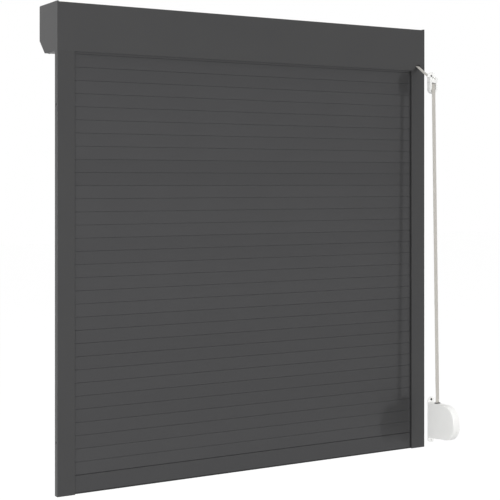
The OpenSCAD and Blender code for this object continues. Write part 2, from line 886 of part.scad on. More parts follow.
module guide_hood() {
    half = guide_w / 2 - cheek_t - fit;
    mid_r = (hood_in + hood_out) / 2;
    base_y = -wall_gap - plate_t;
    slant = (base_y - roller_y + mid_r * sin(strap_drop)) / cos(strap_drop);
    bow = arc(roller_at, mid_r, 90 + strap_drop, 180, 8);
    path = concat(
        [bow[0] + (slant + 2) * [cos(strap_drop), sin(strap_drop)]],
        bow,
        [roller_at - [mid_r, hood_drop]]
    );
    color("#f4f4f2")
        along_x(strap_x - half, strap_x + half)
            intersection() {
                polygon(band(path, hood_out - hood_in));
                translate([base_y - 2 * hood_out, roller_z - guide_h])
                    square([2 * hood_out, 2 * guide_h]);
            }
}
module guide_roller() {
    color("#e4e4e0")
        difference() {
            rod_x(strap_x - roller_w / 2, strap_x + roller_w / 2, roller_at, roller_r);
            rod_x(strap_x - roller_w, strap_x + roller_w, roller_at, guide_axle_r + run);
        }
}
module guide_axle() {
    color("#c3c6c9")
        rod_x(strap_x - guide_w / 2 + 1, strap_x + guide_w / 2 - 1, roller_at, guide_axle_r);
}

// Winder case: two half shells around the spool; the base carries the ears
case_outline = [
    [case_y, case_low],
    [case_y, case_top],
    [front_y, case_top],
    [front_y, case_low + winder_rise]
];
case_radii = [3, 3, round_top * front_h, round_low * front_h];

// One half of the case: side +1 is the right half
module case_half(side) {
    half = winder_w / 2;
    in_half = half - case_wall;
    post_in = in_half - 0.5;
    post_at = side < 0 ? [-in_half - eps / 2, -0.5] : [0.5, in_half + eps / 2];
    spool_half = spool_w / 2 + spool_flange + 0.5;
    boss_at = side < 0 ? [-half + 1, -spool_half] : [spool_half, half - 1];
    clamp_at = side < 0 ? [-half + 1, -cam_w / 2 - fit] : [cam_w / 2 + fit, half - 1];
    translate([strap_x, 0, 0]) {
        difference() {
            intersection() {
                along_x(side < 0 ? -half : 0, side < 0 ? 0 : half)
                    polygon(rounded(case_outline, case_radii, 8));
                translate([0, 0, case_low - eps])
                    linear_extrude(winder_h + 2 * eps)
                        polygon(rounded(
                            [[-half, front_y], [half, front_y], [half, case_y], [-half, case_y]],
                            [winder_side_r, winder_side_r, 0.5, 0.5]
                        ));
            }
            along_x(-in_half, in_half)
                polygon(rounded(
                    inset(case_outline, case_wall),
                    [1, 1, case_radii[2] - case_wall, case_radii[3] - case_wall], 8
                ));
            block([-strap_w / 2 - 1, strap_w / 2 + 1], [inlet_at.x - 3, inlet_at.x + 3], [case_top - 12, case_top + eps]);
            rod_x(-half + 1, half - 1, spool_at, spool_axle_r + run);
            rod_x(-half + 1, half - 1, cam_at, cam_pin_r + run);
            if (side > 0)
                for (at = case_screws)
                    rod_x(0, half + eps, at, case_screw_r + slip);
            if (side > 0)
                for (at = case_screws)
                    rod_x(half - 1.5, half + eps, at, 2 * case_screw_r + slip);
        }
        difference() {
            rod_x(boss_at[0], boss_at[1], spool_at, spool_axle_r + 3);
            rod_x(-half + 1, half - 1, spool_at, spool_axle_r + run);
        }
        difference() {
            rod_x(clamp_at[0], clamp_at[1], cam_at, cam_pin_r + 2);
            rod_x(-half + 1, half - 1, cam_at, cam_pin_r + run);
        }
        for (at = case_screws)
            difference() {
                rod_x(post_at[0], post_at[1], at, post_r);
                rod_x(-post_in + 1, half, at, case_screw_r + (side > 0 ? slip : run));
            }
    }
}
module winder_base() {
    flange_h = winder_pitch + 2 * ear_end;
    color("#f0f0ee") {
        translate([strap_x, 0, flange_mid])
            towards_room(-wall_gap, case_y)
                difference() {
                    oblong(winder_w, flange_h);
                    for (side = [-1, 1])
                        translate([0, side * winder_pitch / 2])
                            circle(winder_hole_r);
                }
        case_half(-1);
    }
}
module winder_cover() {
    color("#f4f4f2")
        case_half(1);
}
module winder_screws() {
    color("#c3c6c9")
        translate([strap_x, 0, 0])
            for (at = case_screws) {
                rod_x(-winder_w / 4, winder_w / 2 - 1.5 + eps / 2, at, case_screw_r);
                rod_x(winder_w / 2 - 1.5, winder_w / 2 - 0.3, at, 2 * case_screw_r);
            }
}

// Spool with its axle, spiral spring and the strap left on it
hub_r = spool_axle_r + 2;
drum_in = spool_r - 2;

module strap_spool() {
    half = spool_w / 2;
    color("#dcdcd8")
        translate([strap_x, 0, 0])
            difference() {
                union() {
                    rod_x(-half - spool_flange, -half, spool_at, spool_flange_r);
                    rod_x(half, half + spool_flange, spool_at, spool_flange_r);
                    rod_x(-half - eps / 2, half + eps / 2, spool_at, spool_r);
                }
                difference() {
                    rod_x(-half + 1.5, half + spool_flange + eps, spool_at, drum_in);
                    rod_x(-half, half + spool_flange + 2 * eps, spool_at, hub_r);
                }
                rod_x(-half - spool_flange - eps, half + spool_flange + eps, spool_at, spool_axle_r + run);
            }
}
module spool_axle() {
    color("#c3c6c9")
        rod_x(strap_x - winder_w / 2 + 1.2, strap_x + winder_w / 2 - 1.2, spool_at, spool_axle_r);
}
module spool_spring() {
    turns = 6;
    spring_t = 0.6;
    first = hub_r + fit + spring_t / 2;
    last = drum_in - fit - spring_t / 2;
    steps = 24 * turns;
    path = [
        for (i = [0:steps])
            let (a = 360 * turns * i / steps, r = first + (last - first) * i / steps)
            spool_at + r * [cos(a), sin(a)]
    ];
    color("#8d9093")
        along_x(strap_x - spool_w / 2 + 2, strap_x + spool_w / 2 - 1)
            polygon(band(path, spring_t));
}
module spool_strap_coil() {
    color("#bab6ae")
        difference() {
            rod_x(strap_x - strap_w / 2, strap_x + strap_w / 2, spool_at, spool_r + spool_turns);
            rod_x(strap_x - strap_w, strap_x + strap_w, spool_at, spool_r + slip);
        }
}

// Strap clamp: an eccentric cam with a tail, on a pin across the case
module strap_clamp() {
    tail_l = 16;
    color("#3c3d3e")
        along_x(strap_x - cam_w / 2, strap_x + cam_w / 2)
            translate(cam_at)
                difference() {
                    union() {
                        translate([-cam_off, 0])
                            circle(cam_r);
                        translate([-1, -tail_l])
                            square([5, tail_l]);
                    }
                    circle(cam_pin_r + run);
                }
}
module clamp_pin() {
    color("#c3c6c9")
        rod_x(strap_x - winder_w / 2 + 1.2, strap_x + winder_w / 2 - 1.2, cam_at, cam_pin_r);
}

cassette_shell();
cassette_cover();
left_end_cap();
right_end_cap();
cassette_screws();
left_guide_rail();
right_guide_rail();
left_rail_seal();
right_rail_seal();
left_inlet_funnel();
right_inlet_funnel();
left_rail_plug();
right_rail_plug();
bearing_outer_rings();
bearing_balls();
bearing_inner_rings();
winding_shaft();
end_capsule();
capsule_pin();
strap_pulley();
pulley_pin();
pulley_strap_coil();
curtain_hangers();
top_slat();
for (i = [1:slat_pairs])
    slat_pair(i);
bottom_bar();
bottom_seal();
bar_stops();
stop_screws();
strap_outlet();
strap();
guide_base();
guide_hood();
guide_roller();
guide_axle();
winder_base();
winder_cover();
winder_screws();
strap_spool();
spool_axle();
spool_spring();
spool_strap_coil();
strap_clamp();
clamp_pin();
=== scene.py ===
import math

import bmesh
import bpy
from mathutils import Matrix, Vector


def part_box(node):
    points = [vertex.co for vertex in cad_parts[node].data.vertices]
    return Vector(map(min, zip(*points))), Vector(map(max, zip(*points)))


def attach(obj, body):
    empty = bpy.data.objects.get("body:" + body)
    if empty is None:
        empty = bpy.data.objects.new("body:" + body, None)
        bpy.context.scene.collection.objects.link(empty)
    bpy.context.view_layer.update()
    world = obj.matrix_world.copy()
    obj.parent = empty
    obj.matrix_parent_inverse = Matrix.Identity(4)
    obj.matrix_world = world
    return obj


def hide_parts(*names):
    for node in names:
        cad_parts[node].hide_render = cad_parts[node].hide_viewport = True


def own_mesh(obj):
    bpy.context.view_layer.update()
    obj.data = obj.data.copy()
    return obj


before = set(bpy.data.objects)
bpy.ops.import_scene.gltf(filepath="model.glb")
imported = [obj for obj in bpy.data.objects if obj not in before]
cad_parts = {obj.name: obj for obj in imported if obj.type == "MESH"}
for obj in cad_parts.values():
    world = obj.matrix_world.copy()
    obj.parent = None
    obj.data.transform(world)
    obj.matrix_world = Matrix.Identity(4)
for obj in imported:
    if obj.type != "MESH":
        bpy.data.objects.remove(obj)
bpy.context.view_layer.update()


# Camera: level, on the room side and left of the shutter's middle, as in the photo.
# The view is shifted down so that the upright edges stay upright.
CAMERA_AT = (-1.895, -3.198, -0.4365)
CAMERA_YAW = 30.32
LENS = 87.85
SENSOR = 36
SHIFT_DOWN = -0.1348
camera = bpy.data.objects.new("camera", bpy.data.cameras.new("camera"))
camera.location = CAMERA_AT
camera.rotation_euler = (math.radians(90), 0, math.radians(-CAMERA_YAW))
camera.data.lens = LENS
camera.data.sensor_width = SENSOR
camera.data.shift_y = SHIFT_DOWN
bpy.context.scene.collection.objects.link(camera)
bpy.context.scene.camera = camera
bpy.context.scene.view_settings.view_transform = "Standard"


# Daylight tent: a white surround that lights from overhead, so that upright faces get little of it.
# Seen directly, in gloss or through glass, it is plain white.
OVERHEAD_FROM = 0.5
OVERHEAD_LEVEL = 2.0
WHITE = (1, 1, 1, 1)


def add(tree, kind, inputs=None, **settings):
    node = tree.nodes.new(kind)
    for key, value in settings.items():
        setattr(node, key, value)
    for key, value in (inputs or {}).items():
        if isinstance(value, bpy.types.NodeSocket):
            tree.links.new(value, node.inputs[key])
        else:
            node.inputs[key].default_value = value
    return node


def seen_directly(tree):
    ray = add(tree, "ShaderNodeLightPath")
    seen = ray.outputs["Is Camera Ray"]
    for kind in ("Is Glossy Ray", "Is Transmission Ray"):
        seen = add(tree, "ShaderNodeMath", {0: seen, 1: ray.outputs[kind]}, operation="MAXIMUM").outputs[0]
    return seen


world = bpy.data.worlds.new("white_tent")
world.use_nodes = True
tree = world.node_tree
tree.nodes.clear()
seen = seen_directly(tree)
upward = add(tree, "ShaderNodeSeparateXYZ", {0: add(tree, "ShaderNodeTexCoord").outputs["Generated"]})
level = add(tree, "ShaderNodeMapRange", {
    "Value": upward.outputs["Z"], "From Min": OVERHEAD_FROM, "To Max": OVERHEAD_LEVEL})
tent = add(tree, "ShaderNodeBackground", {"Color": WHITE, "Strength": level.outputs[0]})
backdrop = add(tree, "ShaderNodeBackground", {"Color": WHITE, "Strength": 1.0})
mixed = add(tree, "ShaderNodeMixShader", {0: seen, 1: tent.outputs[0], 2: backdrop.outputs[0]})
add(tree, "ShaderNodeOutputWorld", {"Surface": mixed.outputs[0]})
bpy.context.scene.world = world


# Three soft lamps: a distant softbox at the right gives the strap its shadow and is kept out of the gloss,
# a front lamp beside the camera lights the faces evenly into their corners, and a side lamp that grazes
# the curtain lights the left sides of the cassette, the guide and the winder.
def soft_lamp(name, place, aim, wide, tall, watts):
    lamp = bpy.data.objects.new(name, bpy.data.lights.new(name, "AREA"))
    lamp.data.shape = "RECTANGLE"
    lamp.data.size = wide
    lamp.data.size_y = tall
    lamp.data.energy = watts
    lamp.location = place
    lamp.rotation_euler = (Vector(aim) - Vector(place)).to_track_quat("-Z", "Y").to_euler()
    bpy.context.scene.collection.objects.link(lamp)
    return lamp


softbox = soft_lamp("softbox", (7.0, -9.6, -0.3), (0.2, 0, -0.6), 0.6, 1.6, 594)
softbox.visible_glossy = False
soft_lamp("front", (-2.35, -2.6, -0.6), (0.1, 0, -0.6), 0.9, 0.9, 54)
soft_lamp("side", (-4.4, 0.05, -0.5), (0.3, -0.05, -0.6), 0.5, 1.6, 58)


# Floor: matt white paper, well below the sill because the shutter hangs on a wall.
# It is lifted to white where it is seen directly, and it keeps the object's shadow.
FLOOR_Z = -2.2
FLOOR_HALF = 30
FLOOR_LIFT = 0.605


def srgb(code):
    parts = [int(code[i:i + 2], 16) / 255 for i in (1, 3, 5)]
    return tuple(c / 12.92 if c <= 0.04045 else ((c + 0.055) / 1.055) ** 2.4 for c in parts) + (1.0,)


paper = bpy.data.materials.new("white_paper_floor")
paper.use_nodes = True
tree = paper.node_tree
tree.nodes.clear()
matt = add(tree, "ShaderNodeBsdfDiffuse", {"Color": srgb("#b6b6b6")})
lift = add(tree, "ShaderNodeEmission", {"Color": WHITE, "Strength": FLOOR_LIFT})
bright = add(tree, "ShaderNodeAddShader", {0: matt.outputs[0], 1: lift.outputs[0]})
both = add(tree, "ShaderNodeMixShader", {0: seen_directly(tree), 1: matt.outputs[0], 2: bright.outputs[0]})
add(tree, "ShaderNodeOutputMaterial", {"Surface": both.outputs[0]})
floor_mesh = bpy.data.meshes.new("floor")
corners = [(x * FLOOR_HALF, y * FLOOR_HALF, FLOOR_Z) for x, y in ((-1, -1), (1, -1), (1, 1), (-1, 1))]
floor_mesh.from_pydata(corners, [], [(0, 1, 2, 3)])
floor_mesh.materials.append(paper)
floor = bpy.data.objects.new("floor", floor_mesh)
bpy.context.scene.collection.objects.link(floor)


# Cassette: folded aluminium sheet with die-cast end caps, powder coated in anthracite.
# The cover tucks behind the shell, and screws through both sheets hold them to the caps.
MM = 0.001


def surface(name, **sockets):
    material = bpy.data.materials.new(name)
    material.use_nodes = True
    tree = material.node_tree
    tree.nodes.clear()
    shader = add(tree, "ShaderNodeBsdfPrincipled", sockets)
    add(tree, "ShaderNodeOutputMaterial", {"Surface": shader.outputs[0]})
    return material, tree, shader


def dress(material, *names):
    for name in names:
        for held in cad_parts[name].material_slots:
            held.material = material


def ease_edges(width, *names):
    for name in names:
        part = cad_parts[name]
        weld = part.modifiers.new("weld", "WELD")
        weld.merge_threshold = 1e-6
        edge = part.modifiers.new("edge", "BEVEL")
        edge.width = width
        edge.segments = 3
        edge.limit_method = "ANGLE"
        edge.angle_limit = math.radians(40)
        edge.harden_normals = True


# Powder coat: a fine orange peel, drawn at 1.6 mm where the real grain is 0.4 mm so that it shows,
# with the slightly cloudy gloss that a baked coat has.
PEEL = 1.6 * MM
CLOUD = 167 * MM
COAT_GLOSS = {"IOR": 1.5, "Specular IOR Level": 0.35}


def powder_coat(name, dark, light):
    material, tree, shader = surface(name, **COAT_GLOSS)
    place = add(tree, "ShaderNodeTexCoord").outputs["Object"]
    cloud = add(tree, "ShaderNodeTexNoise", {"Vector": place, "Scale": 1 / CLOUD, "Detail": 3.0})
    tone = add(tree, "ShaderNodeMix", {
        0: cloud.outputs["Fac"], 6: srgb(dark), 7: srgb(light)}, data_type="RGBA")
    tree.links.new(tone.outputs[2], shader.inputs["Base Color"])
    gloss = add(tree, "ShaderNodeMapRange", {
        "Value": cloud.outputs["Fac"], "To Min": 0.4, "To Max": 0.5})
    tree.links.new(gloss.outputs[0], shader.inputs["Roughness"])
    peel = add(tree, "ShaderNodeTexNoise", {"Vector": place, "Scale": 1 / PEEL, "Detail": 2.0})
    bump = add(tree, "ShaderNodeBump", {
        "Height": peel.outputs["Fac"], "Strength": 0.12, "Distance": 0.1 * MM})
    tree.links.new(bump.outputs[0], shader.inputs["Normal"])
    return material


cassette_coat = powder_coat("anthracite_powder_coat", "#363637", "#3b3b3b")
dress(cassette_coat, "cassette_shell", "cassette_cover", "left_end_cap", "right_end_cap")
ease_edges(0.35 * MM, "cassette_shell", "cassette_cover")
ease_edges(0.8 * MM, "left_end_cap", "right_end_cap")


# Cassette screws: dark coated pan-head screws with a cross recess, driven into the lugs of the caps.
# Each is turned about its own axis, and the recess is cut out of the head.
PAN_R = 3.6 * MM
PAN_H = 1.9 * MM
PAN_SHANK = (1.9 * MM, 9 * MM)
CAP_SCREW_IN = 5 * MM
TOP_SCREW_Y = (25 * MM, 112 * MM)
LOW_SCREW_Y = (36 * MM, 85 * MM)
SCREW_TURNS = (11, 47, 73, 29)


def link(name, mesh, *materials):
    for material in materials:
        mesh.materials.append(material)
    piece = bpy.data.objects.new(name, mesh)
    bpy.context.scene.collection.objects.link(piece)
    return piece


def finish_mesh(work, name, smooth_below=35):
    bmesh.ops.recalc_face_normals(work, faces=work.faces)
    mesh = bpy.data.meshes.new(name)
    work.to_mesh(mesh)
    work.free()
    mesh.polygons.foreach_set("use_smooth", [True] * len(mesh.polygons))
    mesh.set_sharp_from_angle(angle=math.radians(smooth_below))
    return mesh


def turned(work, profile, steps=28):
    angles = [2 * math.pi * k / steps for k in range(steps)]
    rings = []
    for radius, height in profile:
        if radius == 0:
            rings.append([work.verts.new((0, 0, height))])
        else:
            around = [(radius * math.cos(a), radius * math.sin(a), height) for a in angles]
            rings.append([work.verts.new(place) for place in around])
    for lower, upper in zip(rings, rings[1:]):
        for k in range(steps):
            pairs = ((lower, k), (lower, k + 1), (upper, k + 1), (upper, k))
            corners = list(dict.fromkeys(ring[i % len(ring)] for ring, i in pairs))
            if len(corners) > 2:
                work.faces.new(corners)


def carved(name, body, *tools):
    thing = link(name, body)
    helpers = [link(f"{name}_tool_{k}", tool) for k, tool in enumerate(tools)]
    for helper in helpers:
        cut = thing.modifiers.new("cut", "BOOLEAN")
        cut.object = helper
        cut.solver = "EXACT"
        cut.use_self = True
    mesh = bpy.data.meshes.new_from_object(thing.evaluated_get(bpy.context.evaluated_depsgraph_get()))
    for used in [thing] + helpers:
        bpy.data.objects.remove(used)
    return mesh


def cross_screw(name, head_r, head_h, shank_r, shank_l):
    work = bmesh.new()
    angles = [math.radians(10 * k) for k in range(9)]
    dome = [(head_r * math.cos(a), head_h * (0.45 + 0.55 * math.sin(a))) for a in angles]
    shank = [(0, -shank_l), (shank_r, -shank_l + shank_r), (shank_r, 0), (head_r, 0)]
    turned(work, shank + dome + [(0, head_h)])
    tool = bmesh.new()
    for long, wide in ((1.3, 0.3), (0.3, 1.3)):
        arm = Matrix.Diagonal((long * head_r, wide * head_r, head_h, 1))
        bmesh.ops.create_cube(tool, size=1, matrix=Matrix.Translation((0, 0, 0.95 * head_h)) @ arm)
    return carved(name, finish_mesh(work, name), finish_mesh(tool, name + "_tool"))


def gathered(name, mesh, places):
    work = bmesh.new()
    for place in places:
        before = len(work.verts)
        work.from_mesh(mesh)
        work.verts.ensure_lookup_table()
        bmesh.ops.transform(work, matrix=place, verts=work.verts[before:])
    return finish_mesh(work, name)


# Dark coated steel: half metallic grey with a faint grain, drawn at 0.8 mm so that it shows.
screw_steel, tree, shader = surface("dark_coated_screw_steel", Metallic=0.75, Roughness=0.42)
place = add(tree, "ShaderNodeTexCoord").outputs["Object"]
grain = add(tree, "ShaderNodeTexNoise", {"Vector": place, "Scale": 1 / (0.8 * MM), "Detail": 2.0})
tone = add(tree, "ShaderNodeMix", {
    0: grain.outputs["Fac"], 6: srgb("#3d3e40"), 7: srgb("#55575a")}, data_type="RGBA")
tree.links.new(tone.outputs[2], shader.inputs["Base Color"])

cap_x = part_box("cassette_shell")[1].x - CAP_SCREW_IN
box_low_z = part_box("cassette_cover")[0].z
box_top_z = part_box("cassette_shell")[1].z
places = []
for k, (x, y) in enumerate([(x, y) for y in TOP_SCREW_Y for x in (-cap_x, cap_x)]):
    turn = Matrix.Rotation(math.radians(SCREW_TURNS[k]), 4, "Z")
    places.append(Matrix.Translation((x, y, box_top_z)) @ turn)
for k, (x, y) in enumerate([(x, y) for y in LOW_SCREW_Y for x in (-cap_x, cap_x)]):
    turn = Matrix.Rotation(math.radians(SCREW_TURNS[-k]), 4, "Z")
    places.append(Matrix.Translation((x, y, box_low_z)) @ Matrix.Rotation(math.radians(180), 4, "X") @ turn)
head = cross_screw("pan_head", PAN_R, PAN_H, *PAN_SHANK)
screws = link("cassette_screw_set", gathered("cassette_screw_set", head, places), screw_steel)
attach(screws, "frame")
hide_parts("cassette_screws")


# Winding shaft: an octagonal tube roll-formed from galvanised steel strip, with a plastic end capsule
# at the left, the strap pulley at the right and steel pins in two ball bearings.
# Galvanised steel: 7 mm zinc flakes that differ in tone and gloss.
galvanised, tree, shader = surface("galvanised_steel", Metallic=1.0)
place = add(tree, "ShaderNodeTexCoord").outputs["Object"]
flakes = add(tree, "ShaderNodeTexVoronoi", {"Vector": place, "Scale": 1 / (7 * MM)})
tone = add(tree, "ShaderNodeMix", {
    0: flakes.outputs["Distance"], 6: srgb("#a4a8ac"), 7: srgb("#bdc1c4")}, data_type="RGBA")
tree.links.new(tone.outputs[2], shader.inputs["Base Color"])
gloss = add(tree, "ShaderNodeMapRange", {
    "Value": flakes.outputs["Distance"], "To Min": 0.28, "To Max": 0.45})
tree.links.new(gloss.outputs[0], shader.inputs["Roughness"])
dress(galvanised, "winding_shaft")


# Turned and ground steel: bright metal with fine lines round the piece, drawn coarser than the real ones.
def turned_steel(name, dark, light, roughness, line):
    material, tree, shader = surface(name, Metallic=1.0, Roughness=roughness)
    place = add(tree, "ShaderNodeTexCoord").outputs["Object"]
    long = add(tree, "ShaderNodeMapping", {"Vector": place, "Scale": (1 / line, 20, 20)})
    lines = add(tree, "ShaderNodeTexNoise", {"Vector": long.outputs[0], "Scale": 1.0, "Detail": 3.0})
    tone = add(tree, "ShaderNodeMix", {
        0: lines.outputs["Fac"], 6: srgb(dark), 7: srgb(light)}, data_type="RGBA")
    tree.links.new(tone.outputs[2], shader.inputs["Base Color"])
    bump = add(tree, "ShaderNodeBump", {
        "Height": lines.outputs["Fac"], "Strength": 0.1, "Distance": 0.05 * MM})
    tree.links.new(bump.outputs[0], shader.inputs["Normal"])
    return material


bright_pins = turned_steel("drawn_steel", "#b4b7ba", "#cdd0d2", 0.3, 0.6 * MM)
bearing_steel = turned_steel("ground_bearing_steel", "#c2c5c8", "#d6d8da", 0.16, 0.4 * MM)
spring_steel = turned_steel("blue_spring_steel", "#7f858c", "#9aa0a6", 0.3, 0.8 * MM)
dress(bright_pins, "capsule_pin", "pulley_pin", "stop_screws", "guide_axle", "spool_axle", "clamp_pin")
dress(bearing_steel, "bearing_outer_rings", "bearing_inner_rings", "bearing_balls")
dress(spring_steel, "spool_spring")


# Hangers: strips cut from spring-steel band, hooked into the shaft's slots and round the top slat's head.
hanger_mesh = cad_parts["curtain_hangers"].data.copy()
hanger_mesh.materials.clear()
hangers = link("dressed_curtain_hangers", hanger_mesh, spring_steel)
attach(hangers, "frame")
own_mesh(hangers)
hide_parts("curtain_hangers")


# Black mouldings: end capsule, strap pulley, inlet funnels, rail plugs, stop buffers, strap outlet and clamp,
# injection moulded in black polyamide and pushed or screwed in. The eroded tool texture, drawn at 0.9 mm,
# breaks the gloss up a little.
EROSION = 0.9 * MM


def moulded(name, dark, light, low_gloss, high_gloss, relief):
    material, tree, shader = surface(name, IOR=1.52)
    place = add(tree, "ShaderNodeTexCoord").outputs["Object"]
    cloud = add(tree, "ShaderNodeTexNoise", {"Vector": place, "Scale": 1 / (40 * MM), "Detail": 2.0})
    tone = add(tree, "ShaderNodeMix", {
        0: cloud.outputs["Fac"], 6: srgb(dark), 7: srgb(light)}, data_type="RGBA")
    tree.links.new(tone.outputs[2], shader.inputs["Base Color"])
    erosion = add(tree, "ShaderNodeTexNoise", {"Vector": place, "Scale": 1 / EROSION, "Detail": 3.0})
    gloss = add(tree, "ShaderNodeMapRange", {
        "Value": erosion.outputs["Fac"], "To Min": low_gloss, "To Max": high_gloss})
    tree.links.new(gloss.outputs[0], shader.inputs["Roughness"])
    bump = add(tree, "ShaderNodeBump", {
        "Height": erosion.outputs["Fac"], "Strength": relief, "Distance": 0.08 * MM})
    tree.links.new(bump.outputs[0], shader.inputs["Normal"])
    return material


black_plastic = moulded("black_polyamide", "#1b1c1d", "#222324", 0.42, 0.58, 0.25)
eased = (
    "left_inlet_funnel", "right_inlet_funnel", "left_rail_plug", "right_rail_plug",
    "bar_stops", "strap_outlet")
dress(black_plastic, "end_capsule", "strap_pulley", "strap_clamp", *eased)
ease_edges(0.5 * MM, *eased)


# Guide rails: extruded aluminium with the same anthracite coat, screwed to the sides of the window.
# A strip of black pile is pushed into a groove and rests on the slats; its fibres give a dull, rough black.
rail_coat = powder_coat("anthracite_rail_coat", "#343435", "#383838")
dress(rail_coat, "left_guide_rail", "right_guide_rail")
black_pile, tree, shader = surface("black_pile", Roughness=0.95)
place = add(tree, "ShaderNodeTexCoord").outputs["Object"]
fibres = add(tree, "ShaderNodeTexNoise", {"Vector": place, "Scale": 1 / (0.6 * MM), "Detail": 4.0})
tone = add(tree, "ShaderNodeMix", {
    0: fibres.outputs["Fac"], 6: srgb("#0f0f10"), 7: srgb("#2a2a2b")}, data_type="RGBA")
tree.links.new(tone.outputs[2], shader.inputs["Base Color"])
bump = add(tree, "ShaderNodeBump", {
    "Height": fibres.outputs["Fac"], "Strength": 0.8, "Distance": 0.4 * MM})
tree.links.new(bump.outputs[0], shader.inputs["Normal"])
dress(black_pile, "left_rail_seal", "right_rail_seal")


# Slats: roll-formed coated aluminium strip with a hook along the top and a hook channel below.
# Every other slat has moulded end clips that keep the curtain from shifting sideways.
# The lowest slat hangs a little clear of the bottom bar, so that its joint shows more than the seams do.
SLAT_T = 8 * MM
SLAT_BOW = 1 * MM
SLAT_PITCH = 37 * MM
SLAT_EDGE = 0.6 * MM
SEAM = 0.4 * MM
BAR_GAP = 0.4 * MM
BAR_EDGE = 1.5 * MM
NECK = 0.6 * MM
HEAD = 1.8 * MM
HOOK_RISE = 3.6 * MM
MOUTH = 1 * MM
ROOM = 2.6 * MM
LIP = 1.4 * MM
ROOM_TALL = 5 * MM
BOW_STEPS = 10
CLIP_T = 2.5 * MM
CLIP_IN = 1.2 * MM
CLIP_EDGE = 1.2 * MM
CLIP_LOW = 8 * MM
CLIP_HIGH = SLAT_PITCH - 2 * MM
CLIP_GAP = 0.05 * MM


def quarter(cy, cz, radius, start, steps=5):
    angles = [math.radians(start + 90 * k / steps) for k in range(steps + 1)]
    return [(cy + radius * math.cos(a), cz + radius * math.sin(a)) for a in angles]


def slat_outline(low, low_edge):
    high, half = SLAT_PITCH - SEAM / 2, SLAT_T / 2
    flat, roof, top = half - SLAT_BOW, LIP + ROOM_TALL, SLAT_PITCH + HOOK_RISE
    run = high - SLAT_EDGE - low - low_edge
    bowed = [(half - SLAT_BOW * (2 * k / BOW_STEPS - 1) ** 2, low + low_edge + run * k / BOW_STEPS)
             for k in range(1, BOW_STEPS)]
    return (
        quarter(-half + low_edge, low + low_edge, low_edge, 180)
        + [(-MOUTH, low), (-MOUTH, LIP), (-ROOM, LIP), (-ROOM, roof)]
        + [(ROOM, roof), (ROOM, LIP), (MOUTH, LIP), (MOUTH, low)]
        + quarter(flat - low_edge, low + low_edge, low_edge, 270)
        + bowed
        + quarter(flat - SLAT_EDGE, high - SLAT_EDGE, SLAT_EDGE, 0)
        + [(NECK, high), (NECK, top), (HEAD, top), (HEAD, top + 2 * NECK)]
        + [(-HEAD, top + 2 * NECK), (-HEAD, top), (-NECK, top), (-NECK, high)]
        + quarter(-half + SLAT_EDGE, high - SLAT_EDGE, SLAT_EDGE, 90)
    )


def clip_outline():
    side = SLAT_T / 2 - CLIP_IN - CLIP_EDGE
    low, high = CLIP_LOW + CLIP_EDGE, CLIP_HIGH - CLIP_EDGE
    corners = ((-side, low, 180), (side, low, 270), (side, high, 0), (-side, high, 90))
    return [point for y, z, start in corners for point in quarter(y, z, CLIP_EDGE, start)]


def extruded(work, outline, x0, x1, y, z, slot=0):
    ends = [[work.verts.new((x, y + a, z + b)) for a, b in outline] for x in (x0, x1)]
    faces = [work.faces.new(ends[0]), work.faces.new(ends[1])]
    for k in range(len(outline)):
        j = (k + 1) % len(outline)
        faces.append(work.faces.new((ends[0][k], ends[0][j], ends[1][j], ends[1][k])))
    for face in faces:
        face.material_index = slot


# Coil coat on the slats: a smooth satin paint with faint drawn lines along the slat, 2 mm apart.
coil_coat, tree, shader = surface("anthracite_coil_coat", **COAT_GLOSS)
place = add(tree, "ShaderNodeTexCoord").outputs["Object"]
own = add(tree, "ShaderNodeObjectInfo").outputs["Random"]
cloud = add(tree, "ShaderNodeTexNoise", {"Vector": place, "Scale": 1 / (200 * MM), "Detail": 3.0})
blend = add(tree, "ShaderNodeMath", {0: cloud.outputs["Fac"], 1: own}, operation="MULTIPLY")
tone = add(tree, "ShaderNodeMix", {
    0: blend.outputs[0], 6: srgb("#373738"), 7: srgb("#3c3c3d")}, data_type="RGBA")
tree.links.new(tone.outputs[2], shader.inputs["Base Color"])
drawn = add(tree, "ShaderNodeMapping", {"Vector": place, "Scale": (1.5, 1 / (2 * MM), 1 / (2 * MM))})
lines = add(tree, "ShaderNodeTexNoise", {"Vector": drawn.outputs[0], "Scale": 1.0, "Detail": 2.0})
gloss = add(tree, "ShaderNodeMapRange", {"Value": lines.outputs["Fac"], "To Min": 0.4, "To Max": 0.5})
tree.links.new(gloss.outputs[0], shader.inputs["Roughness"])
bump = add(tree, "ShaderNodeBump", {
    "Height": lines.outputs["Fac"], "Strength": 0.06, "Distance": 0.1 * MM})
tree.links.new(bump.outputs[0], shader.inputs["Normal"])

